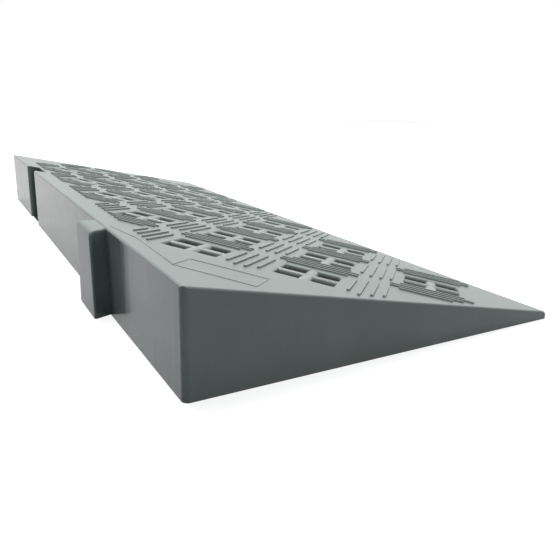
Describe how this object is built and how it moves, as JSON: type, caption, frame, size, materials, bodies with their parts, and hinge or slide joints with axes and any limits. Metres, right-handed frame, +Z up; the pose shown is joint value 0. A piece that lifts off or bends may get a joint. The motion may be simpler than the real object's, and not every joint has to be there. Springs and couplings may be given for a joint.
{
  "type": "floor ramp",
  "caption": "Low moulded wedge ramp with ribbed, drained deck; a tab and a slot on its tall side key it to the next module, easing wheels and feet up a raised floor edge.",
  "frame": {"origin": "on the floor, below the middle of the bounding box, tab included", "axes": "+X along the ramp, towards the end with the tab; +Y down the slope, from the tall rear face to the nose; +Z up from the floor"},
  "size_m": [0.5, 0.2154, 0.0477],
  "materials": {
    "moulded_plastic": "satin, mid grey polypropylene as moulded"
  },
  "bodies": {
    "root": {"deck_plate": "moulded_plastic", "window_bars": "moulded_plastic", "nose_bar": "moulded_plastic", "rear_rail_tab_side": "moulded_plastic", "rear_rail_slot_side": "moulded_plastic", "rear_wall_tab_side": "moulded_plastic", "rear_wall_slot_side": "moulded_plastic", "end_wall_tab_side": "moulded_plastic", "end_wall_slot_side": "moulded_plastic", "connector_tab": "moulded_plastic", "slot_back": "moulded_plastic", "slot_cheek_inner": "moulded_plastic", "slot_cheek_outer": "moulded_plastic", "diagonal_web_1": "moulded_plastic", "diagonal_web_2": "moulded_plastic", "diagonal_web_3": "moulded_plastic", "diagonal_web_4": "moulded_plastic", "diagonal_web_5": "moulded_plastic", "diagonal_web_6": "moulded_plastic", "diagonal_web_7": "moulded_plastic", "diagonal_web_8": "moulded_plastic", "counter_web_1": "moulded_plastic", "counter_web_2": "moulded_plastic", "counter_web_3": "moulded_plastic", "counter_web_4": "moulded_plastic", "counter_web_5": "moulded_plastic", "end_web_1": "moulded_plastic", "end_web_2": "moulded_plastic", "end_web_3": "moulded_plastic"}
  },
  "joints": []
}
